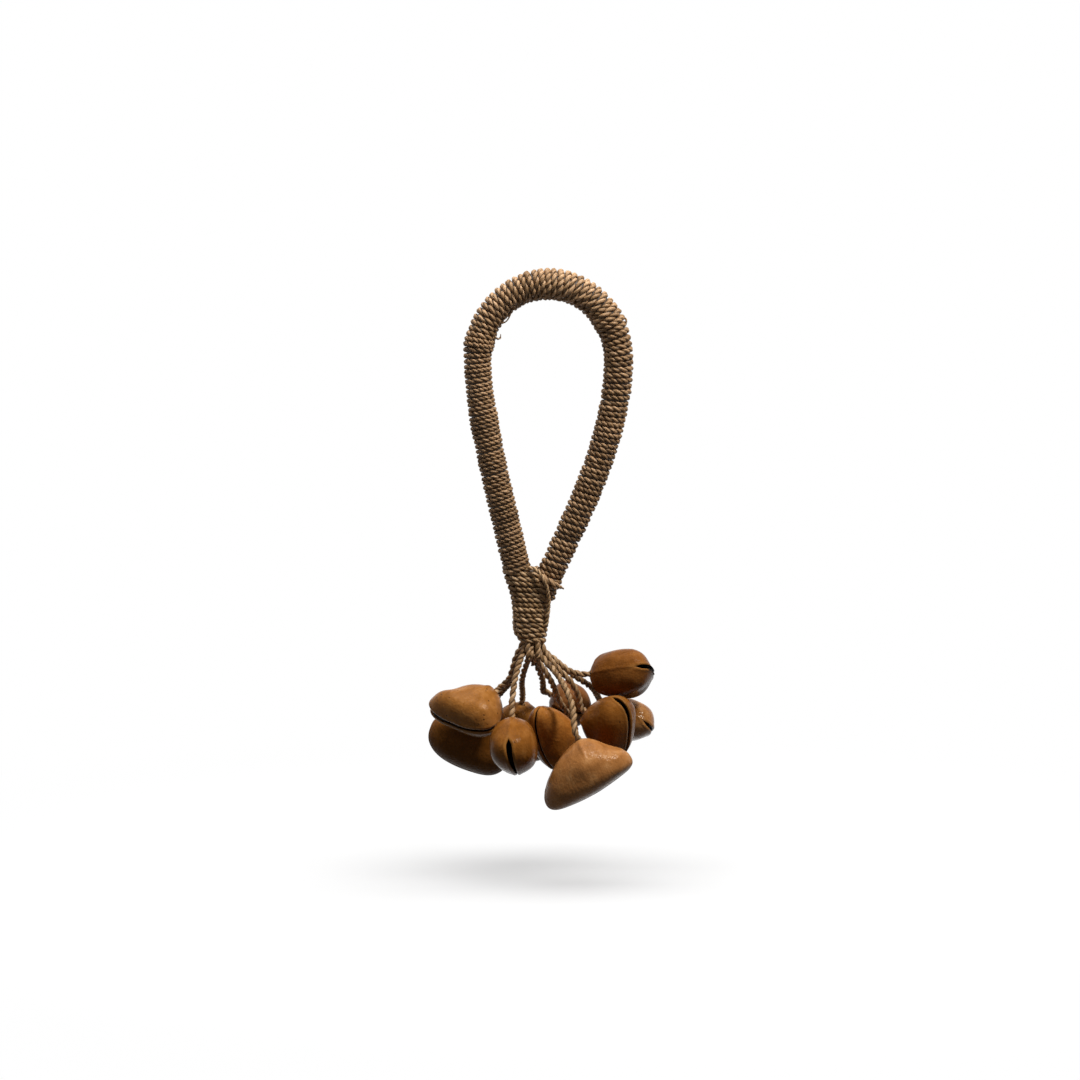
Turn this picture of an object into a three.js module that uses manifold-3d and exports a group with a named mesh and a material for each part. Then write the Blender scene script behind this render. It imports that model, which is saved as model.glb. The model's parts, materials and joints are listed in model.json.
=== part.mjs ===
// Nut shaker: a teardrop loop handle wound with plant-fibre cord, a bound neck, and ten hollow nut shells
// that hang from the neck on strings and knock together.
// Millimetres, +Z up. The origin is the inside top of the loop, where a hook or a finger holds it.
// The loop lies in the XZ plane, and -Y is the front.
import * as THREE from "three";
import { mergeVertices } from "three/addons/utils/BufferGeometryUtils.js";
import Module from "manifold-3d";

const wasm = await Module();
wasm.setup();

// Fits
const seatGap = 0.3; // between pieces that lie against each other
const turnGap = 0.55; // between neighbouring turns of the neck binding
const holeClearance = 0.75; // round a string in its hole, so that the nut can rock
const knotClearance = 1.8; // between the stop knot and the wall that it hangs on

// Handle: a bent cane under one layer of wound cord
const caneDiameter = 10;
const caneEndDiameter = 7.2; // both ends are shaved thin where the neck binds them
const shavedLength = 26;
const wrapCordDiameter = 2.7;
const wrapPitch = 3.1;
const wrapGroove = 1.1; // depth of the groove between two turns
const wrapEndAboveNeck = 2.6;
const crownRadius = 38.5; // half the width of the cane's middle line round the top of the loop
const crownRise = 41.2; // height of that line above its two shoulders
const leftLegPull = 39.5; // how far each leg keeps its direction below the crown and above its end
const leftEndPull = 12.5;
const rightLegPull = 58;
const rightEndPull = 18.5;

// Neck
const neckX = -8.8;
const neckTop = -149.3;
const neckLength = 39.7;
const caneInNeck = 21.7; // length of the cane's ends inside the neck
const bindingCordDiameter = 2.4;
const bindingGap = 0.5; // between the binding and what it holds
const tieStrandDiameter = 2.4;
const tieGap = 0.7; // between the tie strand and the binding
const tieStartAboveNeck = 2.4;
const tieEndAboveBottom = 6;

// Strings
const stringDiameter = 2.8;
const outerExitRadius = 5; // the strings leave the neck in an outer ring and at its middle
const innerExitRadius = 1.85;
const exitSpread = 1.6; // how far they spread in their first run below the neck
const bundleGap = 0.6; // between the cane ends and the gathered strings
const bundleDrop = 1.3; // how far the gathered strings show below the binding
const knotDiameter = 6.2;

// Nut shells
const shellWall = 1.8;
const slitWidth = 3;
const slitOpening = 0.3; // share of the nut's height in which the mouth widens to its full width
const faceCrest = 1.55; // roundness of the face above its widest line: 2 is an ellipse and 1 a triangle
const faceBase = 2.7; // the same below that line, where the mouth runs
const cheekTaper = 0.14; // how much flatter the cheeks are towards the mouth
const cheekPower = 0.85; // how far the cheeks' domes stay full towards their edge: less is fuller

// The hole is where the string enters, stem the way the string leaves it and lips the way the mouth runs.
// Length is along the mouth, height from hole to mouth, and thickness across the two cheeks. Shoulder is
// the share of the height, from the hole, where the face is widest, and slit the share where the mouth
// begins to open. Lean shifts the mouth along itself, slant lifts its one end above the other, and beak
// sharpens the edge in which the cheeks meet there. Exit is the string's place in the neck: ring and azimuth
// from +X towards the back. Via are points that the string passes on its way to the hole.
const nuts = [
  {
    name: "01",
    hole: [-30.2, -2.5, -217.7],
    stem: [0.6, 0.6, 0.53],
    lips: [0.78, -0.55, -0.28],
    length: 41,
    height: 30.5,
    thickness: 25,
    shoulder: 0.68,
    lean: -7,
    slant: 0.1,
    beak: 0.3,
    slit: 0.45,
    exit: ["outer", 184],
    via: [[-18.6, -1, -200], [-21.3, 0.5, -209]],
  },
  {
    name: "02",
    hole: [-30.5, 16, -227],
    stem: [0.45, 0.05, 0.89],
    lips: [0.89, 0, -0.45],
    length: 47.5,
    height: 40,
    thickness: 27,
    shoulder: 0.62,
    lean: -3,
    slant: 0,
    beak: 0.2,
    slit: 0.45,
    exit: ["outer", 144],
    via: [[-17, 6, -201], [-20.5, 11, -212]],
  },
  {
    name: "03",
    hole: [-19.5, -24, -228],
    stem: [-0.05, 0.45, 0.89],
    lips: [-0.14, -0.88, 0.45],
    length: 36,
    height: 30.5,
    thickness: 25,
    shoulder: 0.66,
    lean: 0,
    slant: 0,
    beak: 0.15,
    slit: 0.45,
    exit: ["outer", 228],
    via: [[-16, -8.5, -200], [-18.6, -15, -210.5]],
  },
  {
    name: "04",
    hole: [-14.8, 29.5, -229],
    stem: [0.1, -0.35, 0.93],
    lips: [0.9, -0.4, -0.25],
    length: 38,
    height: 33,
    thickness: 25,
    shoulder: 0.66,
    lean: 0,
    slant: 0,
    beak: 0.2,
    slit: 0.45,
    exit: ["inner", 128],
    via: [[-11.3, 3.8, -200], [-14.3, 13, -211]],
  },
  {
    name: "05",
    hole: [9, 3.9, -235],
    stem: [0.55, 0.74, 0.39],
    lips: [0.3, 0.27, -0.91],
    length: 38,
    height: 25,
    thickness: 23,
    shoulder: 0.62,
    lean: 0,
    slant: 0,
    beak: 0.2,
    slit: 0.45,
    exit: ["outer", 267],
    via: [[-5.6, -4.2, -199], [1.6, 0, -210.5], [6.5, 6.5, -223]],
  },
  {
    name: "06",
    hole: [4.8, 41.5, -227],
    stem: [-0.5, 0.84, 0.2],
    lips: [0.84, 0.52, -0.08],
    length: 23,
    height: 26,
    thickness: 25,
    shoulder: 0.62,
    lean: 0,
    slant: 0,
    beak: 0.2,
    slit: 0.45,
    exit: ["outer", 97],
    via: [[-6.3, 9, -203], [-3.2, 17, -212], [-2.5, 30, -221]],
  },
  {
    name: "07",
    hole: [17, -36, -238],
    stem: [-0.42, 0.1, 0.9],
    lips: [0.89, 0, 0.44],
    length: 51,
    height: 30,
    thickness: 27,
    shoulder: 0.73,
    lean: -6,
    slant: 0.3,
    beak: 0.3,
    slit: 0.45,
    exit: ["outer", 305],
    via: [[6, -16, -206], [13, -26, -219.6]],
  },
  {
    name: "08",
    hole: [22.6, 0, -228.3],
    stem: [-0.72, 0.62, 0.3],
    lips: [-0.04, 0.39, -0.92],
    length: 36,
    height: 31,
    thickness: 27,
    shoulder: 0.62,
    lean: 0,
    slant: 0,
    beak: 0.2,
    slit: 0.45,
    exit: ["outer", 343],
    via: [[5, -2.5, -203], [13, -1, -211.5], [17, 2.5, -220]],
  },
  {
    name: "09",
    hole: [24.4, 4, -207.3],
    stem: [-1, 0, -0.02],
    lips: [0, -0.93, 0.36],
    length: 34,
    height: 35,
    thickness: 27,
    shoulder: 0.68,
    lean: 0,
    slant: 0,
    beak: 0.8,
    slit: 0.6,
    exit: ["outer", 21],
    via: [[3, 3, -198.5], [12, 3.5, -205.5]],
  },
  {
    name: "10",
    hole: [34.5, 27, -229],
    stem: [-0.84, 0.05, 0.54],
    lips: [0.14, -0.93, 0.3],
    length: 31,
    height: 28.5,
    thickness: 21.5,
    shoulder: 0.66,
    lean: 0,
    slant: 0,
    beak: 0.7,
    slit: 0.6,
    exit: ["outer", 59],
    via: [[2.5, 7, -200], [13.7, 8.5, -208.4], [24.5, 14, -216.4]],
  },
];

// Facets
const caneSides = 10;
const wrapPoints = 8; // points on a turn of the wrapping
const turnsPerBoreRing = 2;
const bindingSteps = 18;
const bindingSides = 6;
const stringSides = 8;
const stringStep = 2.6; // string diameters from ring to ring
const outerSegments = 22;
const outerBands = 8;
const innerSegments = 14;
const innerBands = 6;

// Materials
const fibre = (colour) => new THREE.MeshStandardMaterial({ color: colour, roughness: 0.85, metalness: 0 });
const caneMaterial = fibre(0x9a7b4f);
const wrapMaterial = fibre(0x8a7150);
const bindingMaterial = fibre(0x86694a);
const stringMaterial = fibre(0x95795a);
const shellMaterial = new THREE.MeshStandardMaterial({ color: 0x8a5a28, roughness: 0.35, metalness: 0 });

// Worked-out sizes
const caneRadius = caneDiameter / 2;
const caneEndRadius = caneEndDiameter / 2;
const wrapBore = caneRadius + seatGap;
const wrapRadius = wrapBore + wrapCordDiameter;
const crownZ = wrapRadius - crownRise;
const neckBottom = neckTop - neckLength;
const caneEndZ = neckTop - caneInNeck;
const bindingRadius = bindingCordDiameter / 2;
const bindingPitch = bindingCordDiameter + turnGap;
const stringRadius = stringDiameter / 2;
const knotRadius = knotDiameter / 2;
const bundleRadius = outerExitRadius + stringRadius;
const bundleBottom = neckBottom - bundleDrop;
const exitZ = bundleBottom - seatGap - stringRadius;
const knotDepth = shellWall / 2 + knotClearance + knotRadius;

const vector = (x, y, z) => new THREE.Vector3(x, y, z);
const smooth = (t) => THREE.MathUtils.smoothstep(t, 0, 1);

function geometryOf(positions, triangles) {
  const geometry = new THREE.BufferGeometry();
  geometry.setAttribute("position", new THREE.Float32BufferAttribute(positions, 3));
  geometry.setIndex(triangles);
  return geometry;
}

function solidOf(geometry) {
  geometry.deleteAttribute("normal");
  geometry.deleteAttribute("uv");
  const merged = mergeVertices(geometry);
  return new wasm.Manifold(
    new wasm.Mesh({
      numProp: 3,
      vertProperties: merged.attributes.position.array,
      triVerts: new Uint32Array(merged.index.array),
    }),
  );
}

function geometryOfSolid(solid) {
  const made = solid.getMesh();
  return geometryOf([...made.vertProperties], [...made.triVerts]);
}

// A closed tube through the points, with its own radius at each of them.
function tube(points, radii, sides) {
  const positions = [];
  const triangles = [];
  const last = points.length - 1;
  const across = vector(0.31, 0.94, 0.13);
  points.forEach((point, i) => {
    const along = points[Math.min(i + 1, last)].clone().sub(points[Math.max(i - 1, 0)]).normalize();
    across.addScaledVector(along, -across.dot(along)).normalize();
    const other = along.clone().cross(across);
    for (let k = 0; k < sides; k++) {
      const angle = (2 * Math.PI * k) / sides;
      const corner = point.clone().addScaledVector(across, radii[i] * Math.cos(angle));
      positions.push(...corner.addScaledVector(other, radii[i] * Math.sin(angle)).toArray());
    }
  });
  for (let i = 0; i < last; i++) {
    for (let k = 0; k < sides; k++) {
      const next = (k + 1) % sides;
      const [a, b] = [i * sides + k, i * sides + next];
      triangles.push(a, b, b + sides, a, b + sides, a + sides);
    }
  }
  for (let k = 1; k < sides - 1; k++) {
    triangles.push(0, k + 1, k);
    triangles.push(last * sides, last * sides + k, last * sides + k + 1);
  }
  return geometryOf(positions, triangles);
}

// Handle: the cane's middle line runs from the left end up the left leg, round the crown and down the right
const neckHalf = caneEndRadius + seatGap / 2;
const leftEnd = vector(neckX - neckHalf, 0, caneEndZ);
const rightEnd = vector(neckX + neckHalf, 0, caneEndZ);
const leftShoulder = vector(-crownRadius, 0, crownZ);
const rightShoulder = vector(crownRadius, 0, crownZ);
const below = (point, distance) => vector(point.x, point.y, point.z - distance);

class CrownArc extends THREE.Curve {
  getPoint(t, target = new THREE.Vector3()) {
    const angle = Math.PI * (1 - t);
    return target.set(crownRadius * Math.cos(angle), 0, crownZ + crownRise * Math.sin(angle));
  }
}

const leftLeg = new THREE.CubicBezierCurve3(
  leftEnd,
  below(leftEnd, -leftEndPull),
  below(leftShoulder, leftLegPull),
  leftShoulder,
);
const rightLeg = new THREE.CubicBezierCurve3(
  rightShoulder,
  below(rightShoulder, rightLegPull),
  below(rightEnd, -rightEndPull),
  rightEnd,
);
const handleLine = new THREE.CurvePath();
handleLine.curves.push(leftLeg, new CrownArc(), rightLeg);
const handleLength = handleLine.getLength();

// The cane's radius at a distance along it from its nearer end
function caneRadiusAt(fromEnd) {
  return THREE.MathUtils.lerp(caneEndRadius, caneRadius, smooth(fromEnd / shavedLength));
}

function makeCane() {
  const steps = Math.round(handleLength / caneRadius);
  const points = [];
  const radii = [];
  for (let i = 0; i <= steps; i++) {
    const distance = (handleLength * i) / steps;
    points.push(handleLine.getPointAt(i / steps));
    radii.push(caneRadiusAt(Math.min(distance, handleLength - distance)));
  }
  return tube(points, radii, caneSides);
}

// The point of a leg at a height, with its distance along the leg from the leg's lower end
function legAt(leg, z) {
  const samples = 200;
  const points = leg.getSpacedPoints(samples);
  const upwards = points[samples].z > points[0].z ? points : points.reverse();
  const step = leg.getLength() / samples;
  const above = Math.max(1, upwards.findIndex((point) => point.z > z));
  const [low, high] = [upwards[above - 1], upwards[above]];
  const share = THREE.MathUtils.clamp((z - low.z) / (high.z - low.z), 0, 1);
  return { x: THREE.MathUtils.lerp(low.x, high.x, share), fromEnd: (above - 1 + share) * step };
}

// The wrapping: a sleeve on the cane whose outside is one unbroken helical ridge, as a close-wound cord
// makes it.
// Ridge and groove are two helical lines of points, and the bore is a few plain rings.
function makeWrap() {
  const wrapEndZ = neckTop + wrapEndAboveNeck;
  const start = legAt(leftLeg, wrapEndZ).fromEnd;
  const end = handleLength - legAt(rightLeg, wrapEndZ).fromEnd;
  const turns = Math.floor((end - start) / wrapPitch);
  const pitch = (end - start) / turns;
  const lastRidge = turns * wrapPoints;
  const positions = [];
  const triangles = [];
  const add = (distance, angle, radius) => {
    const share = distance / handleLength;
    const along = handleLine.getTangentAt(share);
    const normal = vector(along.z, 0, -along.x);
    const other = along.clone().cross(normal);
    const point = handleLine.getPointAt(share);
    point.addScaledVector(normal, radius * Math.cos(angle));
    positions.push(...point.addScaledVector(other, radius * Math.sin(angle)).toArray());
    return positions.length / 3 - 1;
  };
  const angleOf = (m) => (2 * Math.PI * (m % wrapPoints)) / wrapPoints;
  const ridge = [];
  const groove = [];
  for (let m = 0; m <= lastRidge; m++) {
    ridge.push(add(start + (pitch * m) / wrapPoints, angleOf(m), wrapRadius));
  }
  for (let m = 0; m <= lastRidge - wrapPoints; m++) {
    groove.push(add(start + pitch * (m / wrapPoints + 0.5), angleOf(m), wrapRadius - wrapGroove));
  }
  const quad = (a, b, c, d) => triangles.push(a, b, c, a, c, d);
  for (let m = 0; m < lastRidge - wrapPoints; m++) {
    quad(ridge[m], ridge[m + 1], groove[m + 1], groove[m]);
    quad(groove[m], groove[m + 1], ridge[m + wrapPoints + 1], ridge[m + wrapPoints]);
  }
  const boreSteps = Math.ceil(turns / turnsPerBoreRing);
  const rings = [];
  for (let k = 0; k <= boreSteps; k++) {
    const distance = THREE.MathUtils.lerp(start, end, k / boreSteps);
    const ring = [];
    for (let j = 0; j < wrapPoints; j++) {
      ring.push(add(distance, angleOf(j), wrapBore / Math.cos(Math.PI / wrapPoints)));
    }
    rings.push(ring);
  }
  for (let k = 0; k < boreSteps; k++) {
    for (let j = 0; j < wrapPoints; j++) {
      const next = (j + 1) % wrapPoints;
      quad(rings[k][j], rings[k + 1][j], rings[k + 1][next], rings[k][next]);
    }
  }
  const [first, final] = [rings[0], rings[boreSteps]];
  const tail = lastRidge - wrapPoints;
  for (let j = 0; j < wrapPoints; j++) {
    const next = (j + 1) % wrapPoints;
    quad(ridge[j], first[j], first[next], ridge[j + 1]);
    quad(ridge[tail + j], ridge[tail + j + 1], final[next], final[j]);
  }
  triangles.push(first[0], ridge[0], groove[0], first[0], groove[0], ridge[wrapPoints]);
  triangles.push(final[0], ridge[lastRidge], groove[tail], final[0], groove[tail], ridge[tail]);
  console.log(`handle_wrap: ${turns} turns of ${pitch.toFixed(2)} mm`);
  return geometryOf(positions, triangles);
}

// Neck: the oval that a cord winds at a height, round both cane ends or round the gathered strings
function neckOval(z) {
  const needs = [-1, 0, 1].map((side) => {
    const height = z + side * bindingPitch * 0.55;
    if (height < caneEndZ) {
      return { middle: neckX, round: bundleRadius, half: bundleRadius };
    }
    const [left, right] = [legAt(leftLeg, height), legAt(rightLeg, height)];
    const round = caneRadiusAt(Math.min(left.fromEnd, right.fromEnd));
    return { middle: (left.x + right.x) / 2, round, half: (right.x - left.x) / 2 + round };
  });
  const largest = (key) => Math.max(...needs.map((need) => need[key]));
  const round = largest("round");
  return { middle: needs[1].middle, round, straight: largest("half") - round };
}

// A point of the oval grown by a margin, a share of a turn on from its right-hand end
function ovalPoint(z, turn, margin) {
  const { middle, round, straight } = neckOval(z);
  const radius = round + margin;
  const quarter = (Math.PI * radius) / 2;
  const total = 4 * quarter + 4 * straight;
  const distance = (turn - Math.floor(turn)) * total;
  const half = distance > total / 2;
  const side = half ? -1 : 1;
  const onHalf = half ? distance - total / 2 : distance;
  let x = 0;
  let y = radius;
  if (onHalf < quarter) {
    x = straight + radius * Math.cos(onHalf / radius);
    y = radius * Math.sin(onHalf / radius);
  } else if (onHalf < quarter + 2 * straight) {
    x = straight - (onHalf - quarter);
  } else {
    const angle = (onHalf - 2 * straight) / radius;
    x = -straight + radius * Math.cos(angle);
    y = radius * Math.sin(angle);
  }
  return vector(middle + side * x, side * y, z);
}

function makeBinding() {
  const turns = (neckTop - neckBottom - bindingCordDiameter) / bindingPitch;
  const steps = Math.round(turns * bindingSteps);
  const points = [];
  for (let i = 0; i <= steps; i++) {
    const turn = i / bindingSteps;
    points.push(ovalPoint(neckTop - bindingRadius - bindingPitch * turn, turn, bindingGap + bindingRadius));
  }
  const runOn = (from, to) => {
    const onward = to.clone().sub(from).normalize();
    return to.clone().addScaledVector(onward, bindingCordDiameter);
  };
  points.unshift(runOn(points[1], points[0]));
  points.push(runOn(points[points.length - 2], points[points.length - 1]));
  let leastGap = Infinity;
  for (let i = 0; i < points.length; i++) {
    for (let j = i + Math.round(bindingSteps / 2); j < points.length; j++) {
      leastGap = Math.min(leastGap, points[i].distanceTo(points[j]) - bindingCordDiameter);
    }
  }
  console.log(`neck_binding: ${turns.toFixed(1)} loops, least gap to itself ${leastGap.toFixed(2)} mm`);
  return tube(points, points.map(() => bindingRadius), bindingSides);
}

// The loose strand: out of the crotch of the legs and down over the front of the binding, towards the right
function makeTieStrand() {
  const radius = tieStrandDiameter / 2;
  const margin = bindingGap + bindingCordDiameter + tieGap + radius;
  const top = neckTop + tieStartAboveNeck;
  const bottom = neckBottom + tieEndAboveBottom;
  const frontMiddle = 0.76; // shares of a turn on from the right-hand end
  const towardsRight = 0.2;
  const steps = 9;
  const points = [];
  for (let i = 0; i <= steps; i++) {
    const share = i / steps;
    const turn = frontMiddle + towardsRight * Math.sin((share * Math.PI) / 2);
    points.push(ovalPoint(THREE.MathUtils.lerp(top, bottom, share), turn, margin));
  }
  return tube(points, points.map(() => radius), stringSides);
}

// The strings' place in the neck, or a spread further out
function exitPoint([ring, azimuth], z, spread = 0) {
  const radius = ring === "outer" ? outerExitRadius + spread : innerExitRadius;
  const angle = THREE.MathUtils.degToRad(azimuth);
  return vector(neckX + radius * Math.cos(angle), radius * Math.sin(angle), z);
}

// The gathered upper ends: a fluted plug, with a flute for each string of the outer ring
function makeBundle() {
  const azimuths = nuts.filter((nut) => nut.exit[0] === "outer").map((nut) => nut.exit[1]);
  const corners = 72;
  const hollow = outerExitRadius;
  const outline = new THREE.Shape();
  for (let k = 0; k < corners; k++) {
    const angle = (360 * k) / corners;
    const nearest = Math.min(...azimuths.map((azimuth) => Math.abs(((angle - azimuth + 540) % 360) - 180)));
    const sideways = outerExitRadius * Math.sin(THREE.MathUtils.degToRad(Math.min(nearest, 90)));
    const lift = Math.sqrt(Math.max(0, stringRadius ** 2 - sideways ** 2));
    const radius = Math.max(hollow, outerExitRadius + lift);
    const turn = THREE.MathUtils.degToRad(angle);
    const [x, y] = [radius * Math.cos(turn), radius * Math.sin(turn)];
    if (k === 0) outline.moveTo(x, y);
    else outline.lineTo(x, y);
  }
  const top = caneEndZ - bundleGap;
  const depth = top - bundleBottom;
  const geometry = new THREE.ExtrudeGeometry(outline, { depth, bevelEnabled: false, steps: 1 });
  return geometry.translate(neckX, 0, bundleBottom);
}

// The frame of a nut: the hole is its origin, lips run along X and the stem along Z
function nutFrame(nut) {
  const stem = vector(...nut.stem).normalize();
  const lips = vector(...nut.lips);
  lips.addScaledVector(stem, -lips.dot(stem)).normalize();
  const cheek = stem.clone().cross(lips);
  return new THREE.Matrix4().makeBasis(lips, cheek, stem).setPosition(...nut.hole);
}

// A string: a ball end in the neck, its run to the hole, and the stop knot inside the shell
function makeString(nut) {
  const start = exitPoint(nut.exit, exitZ);
  const hole = vector(...nut.hole);
  const stem = vector(...nut.stem).normalize();
  const out = (distance) => hole.clone().addScaledVector(stem, distance);
  const straightRun = 2 * stringDiameter;
  const route = new THREE.CatmullRomCurve3([
    start,
    exitPoint(nut.exit, exitZ - straightRun / 2, exitSpread),
    ...nut.via.map((point) => vector(...point)),
    out(straightRun),
    out(shellWall),
  ]);
  const steps = Math.ceil(route.getLength() / (stringStep * stringDiameter));
  const points = [below(start, -0.8 * stringRadius)];
  const radii = [0.6 * stringRadius];
  route.getSpacedPoints(steps).forEach((point) => {
    points.push(point);
    radii.push(stringRadius);
  });
  for (const angle of [30, 65, 100, 140]) {
    const turn = THREE.MathUtils.degToRad(angle);
    points.push(out(-knotDepth + knotRadius * Math.cos(turn)));
    radii.push(knotRadius * Math.sin(turn));
  }
  return tube(points, radii, stringSides);
}

// The skin of a nut, drawn in by the inset all round: a face that is arched to the hole and nearly straight
// along the mouth, domed to both sides
function nutSkin(nut, inset, segments, bands) {
  const halfLength = nut.length / 2 - inset;
  const halfThickness = nut.thickness / 2 - inset;
  const crest = nut.shoulder * nut.height;
  const base = nut.height - crest;
  const middleZ = shellWall / 2 - crest;
  const leaning = (z) => (-nut.lean * (z - shellWall / 2)) / nut.height;
  const positions = [leaning(middleZ), halfThickness, middleZ];
  const triangles = [];
  const rings = bands - 1;
  for (let band = 1; band <= rings; band++) {
    const latitude = Math.PI * (0.5 - band / bands);
    const spread = Math.cos(latitude) ** cheekPower;
    const side = Math.sign(latitude);
    for (let k = 0; k < segments; k++) {
      const angle = (2 * Math.PI * (k + 0.5)) / segments;
      const above = Math.sin(angle) > 0;
      const power = 2 / (above ? faceCrest : faceBase);
      const rounded = (share) => spread * Math.sign(share) * Math.abs(share) ** power;
      const across = rounded(Math.cos(angle));
      const up = rounded(Math.sin(angle));
      const reach = above ? crest : base * (1 - nut.slant * across);
      const z = middleZ + (reach - inset) * up;
      const x = halfLength * across + leaning(z);
      const dome = Math.abs(Math.sin(latitude)) ** (1 + nut.beak * Math.max(0, -up));
      positions.push(x, side * dome * halfThickness * (1 + cheekTaper * up), z);
    }
  }
  positions.push(leaning(middleZ), -halfThickness, middleZ);
  const backPole = positions.length / 3 - 1;
  for (let k = 0; k < segments; k++) {
    const next = (k + 1) % segments;
    triangles.push(0, 1 + next, 1 + k);
    const lastRing = 1 + (rings - 1) * segments;
    triangles.push(backPole, lastRing + k, lastRing + next);
    for (let band = 0; band < rings - 1; band++) {
      const [a, b] = [1 + band * segments + k, 1 + band * segments + next];
      triangles.push(a, b, b + segments, a, b + segments, a + segments);
    }
  }
  return geometryOf(positions, triangles);
}

// The wedge that opens the mouth along the seam of the two cheeks
function mouthWedge(nut) {
  const top = -nut.slit * nut.height;
  const full = top - slitOpening * nut.height;
  const bottom = -2 * nut.height;
  const halfWidth = slitWidth / 2;
  const wedge = new THREE.Shape();
  wedge.moveTo(0, top);
  wedge.lineTo(-halfWidth, full);
  wedge.lineTo(-halfWidth, bottom);
  wedge.lineTo(halfWidth, bottom);
  wedge.lineTo(halfWidth, full);
  const run = 2 * nut.length;
  const geometry = new THREE.ExtrudeGeometry(wedge, { depth: run, bevelEnabled: false, steps: 1 });
  return geometry.translate(0, 0, -run / 2).rotateX(Math.PI / 2).rotateZ(Math.PI / 2);
}

function makeShell(nut) {
  const holeRadius = stringRadius + holeClearance;
  const hole = new THREE.CylinderGeometry(holeRadius, holeRadius, 4 * shellWall, stringSides + 2);
  const shell = solidOf(nutSkin(nut, 0, outerSegments, outerBands))
    .subtract(solidOf(nutSkin(nut, shellWall, innerSegments, innerBands)))
    .subtract(solidOf(mouthWedge(nut)))
    .subtract(solidOf(hole.rotateX(Math.PI / 2)));
  return geometryOfSolid(shell);
}

const shaker = new THREE.Group();
function addPiece(name, geometry, material) {
  const mesh = new THREE.Mesh(geometry, material);
  mesh.name = name;
  shaker.add(mesh);
  return mesh;
}

addPiece("handle_core", makeCane(), caneMaterial);
addPiece("handle_wrap", makeWrap(), wrapMaterial);
addPiece("neck_binding", makeBinding(), bindingMaterial);
addPiece("tie_strand", makeTieStrand(), bindingMaterial);
addPiece("string_bundle", makeBundle(), stringMaterial);
for (const nut of nuts) {
  addPiece(`string_${nut.name}`, makeString(nut), stringMaterial);
  addPiece(`shell_${nut.name}`, makeShell(nut), shellMaterial).applyMatrix4(nutFrame(nut));
}

export default shaker;
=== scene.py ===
import json
import math
import bpy
import numpy as np
from mathutils import Matrix, Vector, noise

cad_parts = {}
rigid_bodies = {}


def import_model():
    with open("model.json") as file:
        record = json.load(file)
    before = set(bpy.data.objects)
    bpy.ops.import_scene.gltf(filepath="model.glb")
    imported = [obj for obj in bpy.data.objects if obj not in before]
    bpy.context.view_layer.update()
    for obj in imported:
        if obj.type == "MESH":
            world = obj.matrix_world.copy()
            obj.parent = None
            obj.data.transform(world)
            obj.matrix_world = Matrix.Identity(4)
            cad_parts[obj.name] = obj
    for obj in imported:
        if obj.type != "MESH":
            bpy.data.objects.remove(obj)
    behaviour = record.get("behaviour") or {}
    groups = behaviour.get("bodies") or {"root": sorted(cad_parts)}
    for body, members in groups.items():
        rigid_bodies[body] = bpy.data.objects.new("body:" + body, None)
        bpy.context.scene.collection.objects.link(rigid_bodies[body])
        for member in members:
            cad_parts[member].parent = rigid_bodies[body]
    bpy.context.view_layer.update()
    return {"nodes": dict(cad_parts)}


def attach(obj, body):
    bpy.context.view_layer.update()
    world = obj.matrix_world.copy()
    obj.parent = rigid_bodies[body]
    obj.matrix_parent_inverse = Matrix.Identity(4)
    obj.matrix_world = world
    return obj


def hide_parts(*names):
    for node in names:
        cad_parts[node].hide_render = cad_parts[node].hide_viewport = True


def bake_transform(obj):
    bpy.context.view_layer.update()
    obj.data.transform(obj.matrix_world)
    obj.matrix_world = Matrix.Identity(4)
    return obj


# Nut shaker: a loop handle wound with twisted sedge cord, a bound neck and ten hollow nut shells on strings.
# Sizes and places are in millimetres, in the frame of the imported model, and unit turns them to metres.
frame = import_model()
unit = 0.001
print("frame loaded:", len(frame["nodes"]), "nodes")

camera = {
    "target": (-4.4, 0.0, -132.2),
    "distance": 1500,
    "elevation": 6,
    "lens": 90.9,
    "sensor": 36,
    "farLimit": 20000,
}


def setCamera():
    lift = math.radians(camera["elevation"])
    back = Vector((0, -math.cos(lift), math.sin(lift)))
    lens = bpy.data.cameras.new("camera")
    lens.sensor_width = camera["sensor"]
    lens.lens = camera["lens"]
    lens.clip_end = camera["farLimit"] * unit
    eye = bpy.data.objects.new("camera", lens)
    eye.location = (Vector(camera["target"]) + back * camera["distance"]) * unit
    eye.rotation_mode = "QUATERNION"
    eye.rotation_quaternion = (-back).to_track_quat("-Z", "Y")
    bpy.context.scene.collection.objects.link(eye)
    bpy.context.scene.camera = eye


setCamera()
print("camera set")


# General helpers
def ease(share):
    share = np.clip(share, 0, 1)
    return share * share * (3 - 2 * share)


def unitLength(vectors):
    return vectors / np.maximum(np.linalg.norm(vectors, axis=-1, keepdims=True), 1e-12)


def wander(count, spacing, seed):
    # smooth random values from -1 to 1, with a new value every few samples
    picks = np.random.default_rng(seed).uniform(-1, 1, int(count / spacing) + 3)
    at = np.arange(count) / spacing
    whole = at.astype(int)
    share = ease(at - whole)
    return picks[whole] * (1 - share) + picks[whole + 1] * share


def lengthAlong(line):
    return np.concatenate([[0], np.cumsum(np.linalg.norm(np.diff(line, axis=0), axis=1))])


def placesAt(at, along, line):
    # points of a line at given distances along it
    return np.stack([np.interp(at, along, line[:, axis]) for axis in range(3)], axis=1)


def tableAt(at, table):
    # values between the rows of a table of places and values
    return np.interp(at, *zip(*table))


def evenSteps(line, step):
    along = lengthAlong(line)
    count = max(2, int(round(along[-1] / step)) + 1)
    return placesAt(np.linspace(0, along[-1], count), along, line)


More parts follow.
